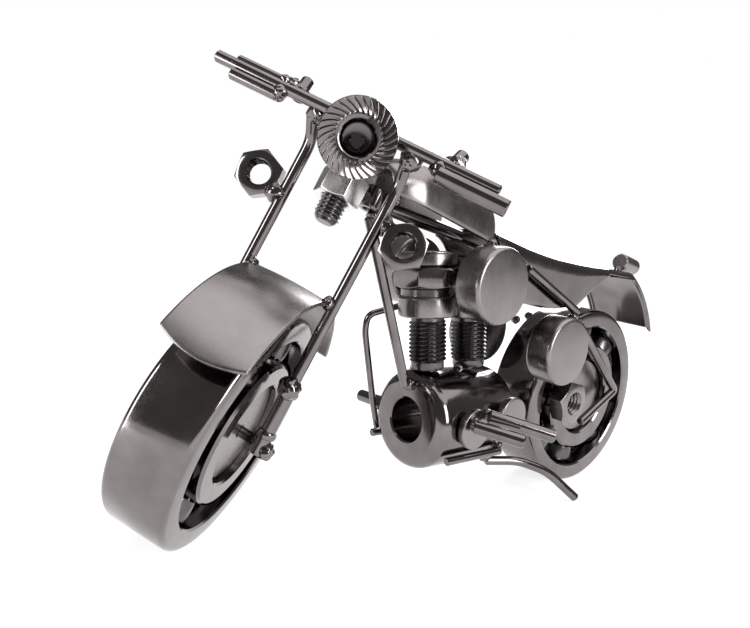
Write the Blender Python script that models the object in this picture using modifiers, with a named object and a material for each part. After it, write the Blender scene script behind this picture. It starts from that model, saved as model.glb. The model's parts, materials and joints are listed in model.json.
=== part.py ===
"""Welded scrap-metal chopper ornament: ball-bearing wheels, nuts, bolts, slugs, rods and bent sheet.

Frame: +X to the front of the bike, +Y to its left, +Z up, z = 0 on the ground, rear axle over the origin.
Sizes are in millimetres and the helpers turn them into metres.
The fork is built in its own axes (forward, left, up its legs), from the middle of the front axle.
"""

import math

import bmesh
import bpy
from mathutils import Matrix, Vector

MM = 0.001

# ---- wheels: two single-row ball bearings ------------------------------------------------------
WHEEL_OD = 47.0
WHEEL_W = 12.6
WHEEL_BORE = 20.0
BALL_D = 7.9
BALLS = 8
PITCH_R = 16.7           # radius of the circle of ball centres
LAND = 2.4               # a ring's plain edge beside its groove, from the circle of ball centres
RIM_EDGE = 1.1
FACETS = 40              # sides of an outer ring: one of them lies flat on the ground
AXLE_D = 2.1
RUN = 0.1                # running clearance, on the radius
GAP = 0.3                # left between pieces that a weld bridges

# ---- fork -------------------------------------------------------------------------------------
FORK_RAKE = math.radians(31.0)
STEER = math.radians(40.3)
STEM_RAKE = math.radians(25.0)
FRONT_AXLE = (101.8, -6.5)
NECK = (85.0, 0.65, 68.2)    # middle of the steering nut
STEM_D, STEM_BELOW, STEM_ABOVE = 5.0, 7.2, 5.0
ROD_D = 2.2
SLEEVE_D = 2.9
LEG_CLEAR = {"left": 1.85, "right": 1.15}    # wheel to the sleeve of a leg
LEG_SLOPE = 0.235        # a leg's forward run for each millimetre up
LEG_BEND = 51.4          # where a leg bends forward to the bar
BAR_FORWARD, BAR_UP = 19.8, 55.1
BAR_LENGTH = 56.5
FENDER_GAP = 4.4         # wheel to the fender's middle line
FENDER_HALF = 7.75
FENDER_FROM, FENDER_TO = math.radians(17), math.radians(128)
SHEET = 0.9

# ---- nuts and bolts ------------------------------------------------------------------------------
SMALL_AF, SMALL_H, SMALL_BORE = 8.0, 5.6, 2.15
NUT_SPIN = 40            # degrees
HUB_AF, HUB_H, HUB_BORE = 10.0, 4.0, 2.6
LAMP_AF, LAMP_FLANGE_D, LAMP_BORE = 10.0, 13.4, 2.95
BOLT_D, BOLT_AF, COLLAR_D, CAP_D = 8.3, 13.0, 12.9, 12.7
BOLT_LEAN = Vector((0.09, -0.09, 1.0))

# ---- engine and body, laid out for a 47 mm wheel and moved with it ---------------------------------
LAYOUT_OD = 47.0
TUBE_D, TUBE_BORE = 21.8, 9.6
TUBE_BACK, TUBE_FRONT, TUBE_Z = 35.0, 60.0, 21.3
BOLT_XS = (55.3, 41.8)
SLUG_D, SLUG_T = 16.2, 6.7
SLUG_Y = {"left": 8.3, "right": 9.7}         # inner face of a slug from the middle plane
SLUGS = ((51.8, 53.0), (24.3, 38.4))
DISC_D, DISC_T, PEG_D = 8.8, 1.5, 2.9
TANK_HALF, TANK_H, TANK_ROLL = 8.0, 8.2, math.radians(6)
TANK_FRONT, TANK_BACK = (76.2, 68.3), (49.3, 61.3)
SEAT_HALF = 9.0

wheel_r = WHEEL_OD / 2
half_w = WHEEL_W / 2
leg_side = {side: half_w + clear + SLEEVE_D / 2 for side, clear in LEG_CLEAR.items()}
axle_z = wheel_r * math.cos(math.pi / FACETS)
shift = (WHEEL_OD - LAYOUT_OD) / 2

# ---- fork and steering axes -----------------------------------------------------------------------
up = Vector((-math.sin(FORK_RAKE), 0, math.cos(FORK_RAKE)))
left = Matrix.Rotation(STEER, 3, up) @ Vector((0, 1, 0))
low_edge = wheel_r * math.hypot(left.x, left.y) + (half_w - RIM_EDGE) * abs(left.z)
fork_axes = Matrix((left.cross(up), left, up)).transposed().to_4x4()
fork_axes.translation = (FRONT_AXLE[0] + shift, FRONT_AXLE[1], low_edge + 0.02)
stem_up = Vector((-math.sin(STEM_RAKE), 0, math.cos(STEM_RAKE)))
side_way = Vector((0, 1, 0))
steering = Matrix((side_way.cross(stem_up), side_way, stem_up)).transposed().to_4x4()
steering.translation = Vector(NECK) + Vector((shift, 0, shift))
BIKE = Matrix.Identity(4)


def axis_frame(axis, origin=(0, 0, 0)):
    """A frame whose Z runs along the axis and whose X is level where it can be."""
    z = Vector(axis).normalized()
    hint = Vector((0, 0, 1)) if abs(z.z) < 0.9 else Vector((1, 0, 0))
    x = hint.cross(z).normalized()
    frame = Matrix((x, z.cross(x), z)).transposed().to_4x4()
    frame.translation = Vector(origin)
    return frame


def lift(height):
    return Matrix.Translation((0, 0, height))


def spin(degrees):
    return Matrix.Rotation(math.radians(degrees), 4, "Z")


# ---- scene --------------------------------------------------------------------------------------
for old in list(bpy.data.objects):
    bpy.data.objects.remove(old, do_unlink=True)
scene = bpy.context.scene
parts = bpy.data.collections.new("scrap_chopper")
cutters = bpy.data.collections.new("cutters")
scene.collection.children.link(parts)
scene.collection.children.link(cutters)


def in_metres(matrix):
    out = matrix.copy()
    out.translation *= MM
    return out


def empty(name, parent, at):
    """A joint's or a group's own origin."""
    obj = bpy.data.objects.new(name, None)
    obj.empty_display_size = 0.01
    parts.objects.link(obj)
    obj.parent = parent
    obj.matrix_basis = in_metres(at)
    return obj


# Z of a wheel's empty runs along its axle to the left, and its -Y points down.
ON_AXLE = Matrix(((-1, 0, 0, 0), (0, 0, 1, 0), (0, 1, 0, 0), (0, 0, 0, 1)))
body = empty("body_origin", None, Matrix.Translation((shift, 0, shift)))
rear_hub = empty("rear_hub_origin", None, lift(axle_z) @ ON_AXLE)
stem = empty("steering_axis", None, steering)
fork = empty("fork_origin", stem, steering.inverted() @ fork_axes)
front_hub = empty("front_hub_origin", fork, ON_AXLE)

LOOKS = {
    "black_nickel": ((0.24, 0.22, 0.225), 0.18),
    "brushed": ((0.36, 0.345, 0.345), 0.32),
    "bright": ((0.60, 0.58, 0.57), 0.26),
    "dark_steel": ((0.12, 0.11, 0.115), 0.30),
}


def finish(obj, look):
    """Gives a part its own material."""
    colour, roughness = LOOKS[look]
    mat = bpy.data.materials.new(obj.name + "_metal")
    mat.use_nodes = True
    shader = mat.node_tree.nodes["Principled BSDF"]
    shader.inputs["Base Color"].default_value = (*colour, 1)
    shader.inputs["Metallic"].default_value = 1.0
    shader.inputs["Roughness"].default_value = roughness
    obj.data.materials.append(mat)


def add(name, parent, data, at, look):
    """Places a part's data under its parent. Without a look it is a cutter or a piece to be joined."""
    obj = bpy.data.objects.new(name, data)
    (parts if look else cutters).objects.link(obj)
    obj.parent = parent
    obj.matrix_basis = in_metres(at)
    if look:
        finish(obj, look)
    else:
        obj.hide_render = True
        obj.display_type = "WIRE"
    return obj


def turned(name, parent, profile, at=BIKE, look="black_nickel", sides=32, ring=False):
    """Turns (radius, height) points about Z. They run up the outer side, and a ring's close on themselves."""
    points = [(radius * MM, 0, height * MM) for radius, height in reversed(profile)]
    edges = [(k, k + 1) for k in range(len(points) - 1)]
    if ring:
        edges.append((len(points) - 1, 0))
    mesh = bpy.data.meshes.new(name)
    mesh.from_pydata(points, edges, [])
    obj = add(name, parent, mesh, at, look)
    screw = obj.modifiers.new("turn", "SCREW")
    screw.steps = screw.render_steps = sides
    screw.use_merge_vertices = True
    screw.merge_threshold = 1e-5
    return obj


def drum(name, parent, diameter, height, at=BIKE, look="black_nickel", sides=32, edge=0.0):
    """A round bar or disc from z = 0 up, with its rims broken."""
    work = bmesh.new()
    half = Matrix.Translation((0, 0, height / 2 * MM))
    bmesh.ops.create_cone(work, cap_ends=True, segments=sides, radius1=diameter / 2 * MM,
                          radius2=diameter / 2 * MM, depth=height * MM, matrix=half)
    mesh = bpy.data.meshes.new(name)
    work.to_mesh(mesh)
    work.free()
    obj = add(name, parent, mesh, at, look)
    if edge:
        bevel = obj.modifiers.new("rims", "BEVEL")
        bevel.width, bevel.segments = edge * MM, 1
        bevel.limit_method, bevel.angle_limit = "ANGLE", math.radians(50)
    return obj


def rounded(path, radius, steps=3):
    """A path with each corner replaced by a bend."""
    path = [Vector(point) for point in path]
    out = [path[0]]
    for before, corner, after in zip(path, path[1:], path[2:]):
        into, away = before - corner, after - corner
        start = corner + into.normalized() * min(radius, into.length * 0.45)
        end = corner + away.normalized() * min(radius, away.length * 0.45)
        for k in range(steps + 1):
            t = k / steps
            out.append(start * (1 - t) ** 2 + corner * 2 * t * (1 - t) + end * t ** 2)
    out.append(path[-1])
    return out


def rod(name, parent, path, diameter, look="black_nickel", bend=0.0):
    """A round rod along a path, with flat ends."""
    path = rounded(path, bend) if bend else path
    curve = bpy.data.curves.new(name, "CURVE")
    curve.dimensions = "3D"
    curve.bevel_depth, curve.bevel_resolution = diameter / 2 * MM, 2
    curve.use_fill_caps = True
    line = curve.splines.new("POLY")
    line.points.add(len(path) - 1)
    for point, place in zip(line.points, path):
        point.co = (*(Vector(place) * MM), 1)
    return add(name, parent, curve, BIKE, look)


def as_mesh(obj):
    """A rod turned into a mesh with its caps welded, so that it can be cut."""
    bpy.context.view_layer.update()
    graph = bpy.context.evaluated_depsgraph_get()
    mesh = bpy.data.meshes.new_from_object(obj.evaluated_get(graph))
    work = bmesh.new()
    work.from_mesh(mesh)
    bmesh.ops.remove_doubles(work, verts=work.verts, dist=1e-6)
    work.to_mesh(mesh)
    work.free()
    solid = bpy.data.objects.new(obj.name, mesh)
    parts.objects.link(solid)
    solid.parent = obj.parent
    solid.matrix_basis = obj.matrix_basis
    name = obj.name
    bpy.data.objects.remove(obj, do_unlink=True)
    solid.name = name
    return solid


def join(obj, other, operation="DIFFERENCE"):
    step = obj.modifiers.new(operation.lower(), "BOOLEAN")
    step.operation, step.solver, step.object = operation, "EXACT", other


def hexagon(name, parent, flats, height, bore=0.0, at=BIKE, look="black_nickel"):
    """A hexagon from z = 0 up, with turned corners and, in a nut, a round bore."""
    corner = flats / math.sqrt(3)
    obj = drum(name, parent, 2 * corner, height, at, look, sides=6)
    past, face = corner + 0.1, flats / 2 * 0.96
    depth = (past - face) / 2
    outside = [(0, -depth), (2 * face - past, -depth), (past, depth), (past, height - depth),
               (2 * face - past, height + depth), (0, height + depth)]
    join(obj, turned(name + "_corners", parent, outside, at, None, 24), "INTERSECT")
    if bore:
        join(obj, drum(name + "_bore", parent, 2 * bore, height + 2, at @ lift(-1), None, 16))
    return obj


def ring_loft(name, parent, rings, sides, at, look="black_nickel"):
    """A bored body lofted through rings about Z, each round or, measured over its flats, six-sided."""
    work = bmesh.new()
    loops = []
    for radius, height, six_sided in rings:
        loop = []
        for k in range(sides):
            a = 2 * math.pi * k / sides
            reach = radius / math.cos((a + math.pi / 6) % (math.pi / 3) - math.pi / 6) if six_sided else radius
            loop.append(work.verts.new(Vector((reach * math.cos(a), reach * math.sin(a), height)) * MM))
        loops.append(loop)
    for lower, upper in zip(loops, loops[1:] + loops[:1]):
        for k in range(sides):
            work.faces.new((lower[k - 1], lower[k], upper[k], upper[k - 1]))
    bmesh.ops.recalc_face_normals(work, faces=work.faces)
    mesh = bpy.data.meshes.new(name)
    work.to_mesh(mesh)
    work.free()
    return add(name, parent, mesh, at, look)


def sheet(name, parent, surface, along, across, look):
    """Bent sheet: a grid laid on a surface of (0..1 along, -1..1 across), given its thickness."""
    work = bmesh.new()
    bmesh.ops.create_grid(work, x_segments=along, y_segments=across, size=1.0)
    for vert in work.verts:
        vert.co = surface((vert.co.x + 1) / 2, vert.co.y) * MM
    mesh = bpy.data.meshes.new(name)
    work.to_mesh(mesh)
    work.free()
    obj = add(name, parent, mesh, BIKE, look)
    solid = obj.modifiers.new("thickness", "SOLIDIFY")
    solid.thickness, solid.offset, solid.use_even_offset = SHEET * MM, 0.0, True
    return obj


# ---- wheels --------------------------------------------------------------------------------------
groove_r = BALL_D / 2 + RUN


def groove(outward):
    """The raceway's arc between its two lands, as (radius, height) points going up."""
    reach = math.acos(LAND / groove_r)
    r = groove_r / math.cos(reach / 4)
    arc = [(PITCH_R + outward * r * math.cos(a), r * math.sin(a)) for a in (-reach / 2, 0, reach / 2)]
    ends = [(PITCH_R + outward * LAND, sign * groove_r * math.sin(reach)) for sign in (-1, 1)]
    return ends[:1] + arc + ends[1:]


def outer_ring(name, hub):
    land = PITCH_R + LAND
    outside = [(land, -half_w), (wheel_r - RIM_EDGE, -half_w), (wheel_r, RIM_EDGE - half_w),
               (wheel_r, half_w - RIM_EDGE), (wheel_r - RIM_EDGE, half_w), (land, half_w)]
    turned(name, hub, outside + groove(1)[::-1], spin(180 / FACETS), sides=FACETS, ring=True)


def inner_ring(name, hub):
    land, bore, edge = PITCH_R - LAND, WHEEL_BORE / 2, 0.5
    outside = [(bore, -half_w), (land - edge, -half_w), (land, edge - half_w)] + groove(-1)
    outside += [(land, half_w - edge), (land - edge, half_w), (bore, half_w)]
    turned(name, hub, outside, sides=36, ring=True)


def ball_cage(name, hub):
    """The balls with the two pressed rings and the rivets that keep them apart."""
    plate_low, plate_t, plate_half = BALL_D / 2 - 0.65, 0.6, 1.7
    pieces = bpy.data.collections.new(name + "_pieces")
    cutters.children.link(pieces)
    for sign in (-1, 1):
        heights = sorted((sign * plate_low, sign * (plate_low + plate_t)))
        loop = [(PITCH_R + r, h) for h, r in zip((heights[0], heights[0], heights[1], heights[1]),
                                                 (-plate_half, plate_half, plate_half, -plate_half))]
        if sign < 0:
            cage = turned(name, hub, loop, sides=32, ring=True, look="dark_steel")
        else:
            pieces.objects.link(turned(name + "_plate", hub, loop, look=None, sides=32, ring=True))
    sphere = bmesh.new()
    bmesh.ops.create_uvsphere(sphere, u_segments=10, v_segments=6, radius=BALL_D / 2 * MM)
    mesh = bpy.data.meshes.new(name + "_ball")
    sphere.to_mesh(mesh)
    sphere.free()
    for k in range(BALLS):
        place = spin(360 * k / BALLS) @ Matrix.Translation((PITCH_R, 0, 0))
        pieces.objects.link(add(f"{name}_ball_{k}", hub, mesh, place, None))
        between = spin(360 * (k + 0.5) / BALLS) @ Matrix.Translation((PITCH_R, 0, -plate_low - 0.3))
        pieces.objects.link(drum(f"{name}_rivet_{k}", hub, 1.8, 2 * plate_low + 0.6, between, None, 6))
    step = cage.modifiers.new("balls", "BOOLEAN")
    step.operation, step.solver = "UNION", "EXACT"
    step.operand_type, step.collection = "COLLECTION", pieces


def wheel(label, hub):
    outer_ring(label + "_outer_ring", hub)
    inner_ring(label + "_inner_ring", hub)
    ball_cage(label + "_ball_cage", hub)
    thick = WHEEL_W - 3.0
    return drum(label + "_hub_disc", hub, WHEEL_BORE - 2 * GAP / 3, thick, lift(-thick / 2), "brushed", 32, 0.4)


wheel("rear", rear_hub)
front_disc = wheel("front", front_hub)
join(front_disc, drum("front_disc_hole", front_hub, AXLE_D + 2 * RUN, WHEEL_W, lift(-half_w), None, 20))

# ---- engine: a thick tube with two bolts standing on it -----------------------------------------------
tube_r = TUBE_D / 2
tube_length = TUBE_FRONT - TUBE_BACK
bore_r = TUBE_BORE / 2
round_edge = [(tube_r - 3 * (1 - math.sin(a)), tube_length - 3 * (1 - math.cos(a)))
              for a in (math.radians(90 - 22.5 * k) for k in range(5))]
tube = [(bore_r, 0), (tube_r - 1, 0), (tube_r, 1)] + round_edge + [(bore_r, tube_length)]
turned("engine_tube", body, tube, axis_frame((1, 0, 0), (TUBE_BACK, 0, TUBE_Z)), "black_nickel", 36, ring=True)

neck = BOLT_D / 2 - 0.55
shank = [(0, 0), (neck - 0.4, 0), (neck, 0.5), (neck, 2.3), (neck + 0.55, 2.7), (neck + 0.55, 9.5),
         (neck, 10), (neck, 11.7)]
COLLAR_H, HEX_H, CAP_H = 6.2, 4.5, 3.0
for label, x in zip(("front", "rear"), BOLT_XS):
    stand = axis_frame(BOLT_LEAN, (x, 0, TUBE_Z + tube_r + GAP))
    collar_low = shank[-1][1] + GAP / 3
    hex_low = collar_low + COLLAR_H + GAP / 3
    turned(f"{label}_cylinder_bolt", body, shank + [(0, shank[-1][1])], stand, "dark_steel", 20)
    r = COLLAR_D / 2
    collar = [(0, 0), (r - 0.35, 0), (r, 0.35), (r, 4.2), (r - 0.35, 4.5), (r - 0.6, 4.6), (r - 0.6, COLLAR_H), (0, COLLAR_H)]
    turned(f"{label}_cylinder_collar", body, collar, stand @ lift(collar_low), "brushed", 24)
    hexagon(f"{label}_cylinder_hex", body, BOLT_AF, HEX_H, 0, stand @ lift(hex_low) @ spin(30))
    drum(f"{label}_cylinder_cap", body, CAP_D, CAP_H, stand @ lift(hex_low + HEX_H + GAP / 3), "brushed", 24, 0.3)

for side, label in ((1, "left"), (-1, "right")):
    for place, (x, z) in zip(("upper", "lower"), SLUGS):
        at = axis_frame((0, side, 0), (x, side * SLUG_Y[label], z))
        drum(f"{place}_slug_{label}", body, SLUG_D, SLUG_T, at, "brushed", 32, 0.7)

peg_y = tube_r + GAP + DISC_T + GAP
for place, x, z in (("front", 51.0, 22.0), ("rear", 38.8, 23.6)):
    at = axis_frame((0, 1, 0), (x, tube_r + GAP, z))
    drum(f"{place}_side_disc", body, DISC_D, DISC_T, at, "brushed", 24, 0.25)
rod("front_pipe", body, [(53.2, peg_y + 0.6, 23.4), (47.6, peg_y + 9.6, 22.3)], PEG_D)
rod("rear_pipe", body, [(49.4, peg_y + 0.9, 25.3), (38.6, peg_y + 10.4, 22.6)], PEG_D)
drum("peg_right", body, PEG_D, 8.6, axis_frame((0, -1, -0.05), (56.3, -tube_r - GAP - 0.2, 21.3)), sides=18, edge=0.15)

to_body = Vector((shift, 0, shift))

# ---- frame rods ----------------------------------------------------------------------------------------
hexagon("steering_nut", stem, SMALL_AF, SMALL_H, STEM_D / 2 + RUN, lift(-SMALL_H / 2) @ spin(NUT_SPIN), "bright")

BOSS_R = 2.3
boss = Vector(NECK) + Vector((-SMALL_AF / math.sqrt(3) - BOSS_R - GAP - 0.5, 0, -1.2))
boss_loop = [(0.9, -2.2), (BOSS_R - 0.4, -2.2), (BOSS_R, -1.8), (BOSS_R, 1.8), (BOSS_R - 0.4, 2.2), (0.9, 2.2)]
turned("neck_boss", body, boss_loop, axis_frame(stem_up, boss), "black_nickel", 20, ring=True)
tube_foot = Vector((TUBE_FRONT + 1.4, 0, TUBE_Z + tube_r - 3.2))
rod("down_tube", body, [boss + Vector((0.2, 0, -3.4)), tube_foot], 2.1)
rod("backbone", body, [boss + Vector((-4.2, 0, -1.3)), (58.0, 0, 63.3), (50.9, 0, 62.0)], 2.8, bend=3)

for side, label in ((1, "left"), (-1, "right")):
    y = side * (SEAT_HALF + SHEET / 2 + 1.0 + GAP)
    rod(f"seat_strut_{label}", body, [(39.4, y, 56.9), (17.2, y, 47.3)], 2.0)
    y = side * (tube_r - 0.5)
    rod(f"lower_rail_{label}", body, [(58.4 - 1.6 * side, y, 14.9), (39.0, y, 15.0)], 1.8)
    y = side * (half_w + ROD_D / 2 + 0.7)
    stay = [Vector((10.4, y, 43.3)) + to_body, (-12.0, y, axle_z + 1.5), (2.9, y, axle_z - 6.3)]
    rod(f"rear_stay_{label}", None, stay, ROD_D, bend=1.6)
    nut_face = axis_frame((0, side, 0), (11.2, side * (half_w + GAP), axle_z + 0.2))
    hexagon(f"hub_nut_{label}", None, HUB_AF, HUB_H, HUB_BORE, nut_face @ spin(20), "brushed")

stand = [(35.4, 4.2, 9.8), (27.6, 8.0, 10.0), (20.2, 11.6, 7.4), (13.0, 17.0, 0.8 - shift)]
kickstand = as_mesh(rod("kickstand", body, stand, ROD_D, bend=3))
finish(kickstand, "black_nickel")
work = bmesh.new()
bmesh.ops.create_cube(work, size=40 * MM, matrix=Matrix.Translation((13 * MM, 17 * MM, -20 * MM)))
ground = bpy.data.meshes.new("ground_cut")
work.to_mesh(ground)
work.free()
join(kickstand, add("ground_cut", None, ground, BIKE, None))

wire_y = -tube_r - GAP - 0.75
wire = [(56.6, wire_y + 3, 45.2), (64.0, wire_y, 42.4), (64.4, wire_y, 38.9), (59.3, wire_y, 21.7), (57.0, wire_y, 15.2)]
rod("foot_lever", body, wire, 1.5, bend=1.8)

# ---- tank, seat and tail light ------------------------------------------------------------------------------
def tank_surface(u, v):
    """An arched roof, narrower and lower towards its nose."""
    front, back = Vector((TANK_FRONT[0], 0, TANK_FRONT[1])), Vector((TANK_BACK[0], 0, TANK_BACK[1]))
    width = 0.62 + 0.38 * min(1.0, u / 0.22) ** 0.6
    height = 0.55 + 0.45 * min(1.0, u / 0.3) ** 0.7
    a = math.pi / 2 * (1 + v)
    side = TANK_HALF * width * math.copysign(math.sqrt(abs(math.cos(a))), math.cos(a))
    roll = (TANK_HALF - side) * math.tan(TANK_ROLL)
    return front.lerp(back, u) + Vector((0, side, TANK_H * height * math.sin(a) ** 0.8 + roll))


SEAT_TOP = ((48.6, 63.0), (43.0, 61.9), (37.2, 60.7), (31.0, 59.7), (25.1, 58.9), (16.0, 58.2), (9.0, 57.8), (3.0, 57.6))
SEAT_HEM = (60.8, 55.0, 48.9, 48.1, 47.8, 48.5, 53.3, 56.7)
TAIL_GAPS = (11.7, 7.7)      # wheel to the strip behind it, at its top and at its end
TAIL_FROM, TAIL_TO = math.radians(106), math.radians(142)


def seat_surface(u, v):
    """A cowl with hanging sides that runs on as a plain strip behind the wheel."""
    steps = len(SEAT_TOP) - 1
    place = u * 1.9 * steps
    drop, inward = 0.0, Vector((0, 0, -1))
    if place <= steps:
        k = min(int(place), steps - 1)
        t = place - k
        x, z = (SEAT_TOP[k][i] * (1 - t) + SEAT_TOP[k + 1][i] * t for i in (0, 1))
        drop = z - (SEAT_HEM[k] * (1 - t) + SEAT_HEM[k + 1] * t)
        upper, _ = SLUGS[0]
        reach = SLUG_D / 2 + SHEET
        if abs(x - upper) < reach:
            drop = min(drop, z - SLUGS[0][1] - math.sqrt(reach ** 2 - (x - upper) ** 2))
        centre = Vector((x, 0, z))
    else:
        t = (place - steps) / (0.9 * steps)
        bend = max(0.0, t / 0.75 - 1 / 3)
        a = TAIL_FROM + (TAIL_TO - TAIL_FROM) * bend
        inward = Vector((-math.cos(a), 0, -math.sin(a)))
        gap = TAIL_GAPS[0] + (TAIL_GAPS[1] - TAIL_GAPS[0]) * bend
        centre = Vector((0, 0, axle_z)) - to_body - inward * (wheel_r + gap)
        last = Vector((SEAT_TOP[-1][0], 0, SEAT_TOP[-1][1]))
        centre = last.lerp(centre, min(1.0, t / 0.25))
        drop = 0.9
    side = abs(v)
    if side < 0.55:
        y, down = SEAT_HALF * side / 0.62, -0.3 * (1 - side)
    elif side < 0.75:
        t = (side - 0.55) / 0.2
        y, down = SEAT_HALF * (0.887 + 0.113 * t), 0.9 * t ** 2
    else:
        t = (side - 0.75) / 0.25
        y, down = SEAT_HALF, 0.9 + (drop - 0.9) * t
    return centre + Vector((0, math.copysign(y, v), 0)) + inward * down


sheet("tank", body, tank_surface, 9, 12, "brushed")
sheet("seat_and_rear_fender", body, seat_surface, 30, 12, "black_nickel")
drum("tail_light", body, 4.5, 7.6, axis_frame((-1, 0, -0.18), (-8.8, 5.0, 60.4)), "brushed", 24, 0.3)


# ---- fork ---------------------------------------------------------------------------------------------------
def leg_forward(height):
    return 1.0 + LEG_SLOPE * height


LAMP_AXIS = fork_axes.to_3x3().inverted() @ Vector((math.cos(math.radians(54)), math.sin(math.radians(54)), -0.08))
LAMP_AT = Vector((BAR_FORWARD + 5.5, 2.6, BAR_UP - 5.1))
SIGNAL_UP = 42.1
SLEEVE_LOW, SLEEVE_TOP = -2.0, 11.0

r = STEM_D / 2
bolt = [(0, -STEM_BELOW), (r - 0.6, -STEM_BELOW), (r, 0.6 - STEM_BELOW), (r, STEM_ABOVE), (0, STEM_ABOVE)]
turned("steering_bolt", stem, bolt, BIKE, "dark_steel", 24)
bolt_top = fork_axes.inverted() @ steering @ Vector((0, 0, STEM_ABOVE + 1.4 + GAP))
rod("steering_yoke", fork, [bolt_top, (BAR_FORWARD - ROD_D / 2 - GAP, bolt_top.y, BAR_UP)], 2.8)
bar_axis = axis_frame((0, 1, 0), (BAR_FORWARD, -BAR_LENGTH / 2 - 1.8, BAR_UP))
drum("handlebar", fork, ROD_D, BAR_LENGTH, bar_axis, sides=20, edge=0.15)

for side, label in ((1, "left"), (-1, "right")):
    y = side * leg_side[label]
    path = [(leg_forward(SLEEVE_TOP + GAP), y, SLEEVE_TOP + GAP), (leg_forward(LEG_BEND), y, LEG_BEND),
            (BAR_FORWARD - ROD_D - GAP, side * leg_side["left"], BAR_UP - ROD_D / 2)]
    rod(f"fork_leg_{label}", fork, path, ROD_D, bend=2.4)
    r, length = SLEEVE_D / 2, (SLEEVE_TOP - SLEEVE_LOW) * math.hypot(1, LEG_SLOPE)
    profile = [(0, 0), (r, 0), (r, 3.4), (r + 0.5, 3.7), (r + 0.5, 4.5), (r, 4.8), (r, length - 1.5),
               (r + 0.5, length - 1.2), (r + 0.5, length - 0.3), (r + 0.2, length), (0, length)]
    at = axis_frame((LEG_SLOPE, 0, 1), (leg_forward(SLEEVE_LOW), y, SLEEVE_LOW))
    sleeve = turned(f"leg_sleeve_{label}", fork, profile, at, sides=20)
    hole = axis_frame((0, 1, 0), (0, y - 4, 0))
    join(sleeve, drum(f"leg_sleeve_{label}_hole", fork, AXLE_D + 2 * RUN, 8, hole, None, 20))
    outward = y + side * (ROD_D / 2 + SMALL_AF / math.sqrt(3) + 0.2)
    face = fork_axes.to_3x3().inverted() @ Vector((0.66, 0.72, 0.12))
    at = axis_frame(face, (leg_forward(SIGNAL_UP) - 0.4, outward, SIGNAL_UP)) @ spin(8) @ lift(-1.95)
    hexagon(f"signal_nut_{label}", fork, SMALL_AF, 3.9, SMALL_BORE, at)
right_end, left_end = (leg_side[side] + SLEEVE_D / 2 + 0.6 for side in ("right", "left"))
axle = axis_frame((0, 1, 0), (0, -right_end, 0))
drum("front_axle", fork, AXLE_D, right_end + left_end, axle, sides=16, edge=0.15)

# headlight: a flange nut whose face looks forward, as (radius, height, six-sided) rings
lamp = axis_frame(LAMP_AXIS, LAMP_AT)
flange_r = LAMP_FLANGE_D / 2
rings = [(LAMP_BORE, -4.9, False), (LAMP_AF * 0.45, -4.9, True), (LAMP_AF / 2, -4.5, True), (LAMP_AF / 2, -2.0, True),
         (flange_r - 0.7, -2.0, False), (flange_r, -1.3, False), (flange_r, -0.5, False), (flange_r - 0.3, -0.1, False),
         (4.0, -0.1, False), (3.9, 0.3, False), (LAMP_BORE, 0.3, False)]
ring_loft("headlight", fork, rings, 36, lamp)


def fender_surface(u, v):
    """Sheet wrapped over the wheel, slightly crowned."""
    a = FENDER_FROM + (FENDER_TO - FENDER_FROM) * u
    r = wheel_r + FENDER_GAP + 0.35 * (1 - v * v)
    middle = (leg_side["left"] - leg_side["right"]) / 2
    return Vector((r * math.cos(a), middle + FENDER_HALF * v, r * math.sin(a)))


sheet("front_fender", fork, fender_surface, 16, 6, "brushed")

under = BAR_UP - ROD_D / 2 - GAP
tube_wall = [(1.1, 0), (1.55, 0), (1.55, 13.0), (1.1, 13.0)]
turned("lever_tube_left", fork, tube_wall, axis_frame((0, 1, 0), (BAR_FORWARD, 15.6, under - 1.55)), sides=20, ring=True)
drum("lever_rod_right", fork, 2.2, 10.4, axis_frame((0, 1, 0), (BAR_FORWARD, -26.2, under - 1.1)), sides=16, edge=0.15)
over = BAR_UP + ROD_D / 2 + GAP + 0.75
drum("bar_wire_right", fork, 1.5, 10.5, axis_frame((0, 1, 0), (BAR_FORWARD - 0.4, -26.8, over)), sides=12, edge=0.1)
stud = [(0, 0), (1.9, 0), (1.9, 1.1), (1.25, 1.1), (1.25, 4.4), (0, 4.4)]
for side, label, w in ((1, "left", 16.8), (-1, "right", -14.0)):
    lean = axis_frame((-0.35, 0.15 * side, 1), (BAR_FORWARD - ROD_D / 2 - 1.5, w, BAR_UP + 1.2))
    turned(f"bar_stud_{label}", fork, stud, lean, sides=18)
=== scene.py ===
"""Looks of the welded scrap-metal chopper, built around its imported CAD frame.

Pieces are modelled in millimetres in the CAD's axes (+X front, +Y left, +Z up) and settled into metres.
The fork's pieces are modelled in its own axes: forward, left and up its legs, from the front axle.
"""

import json
import math

import bmesh
import bpy
from mathutils import Matrix, Vector, noise
from mathutils.bvhtree import BVHTree

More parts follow.
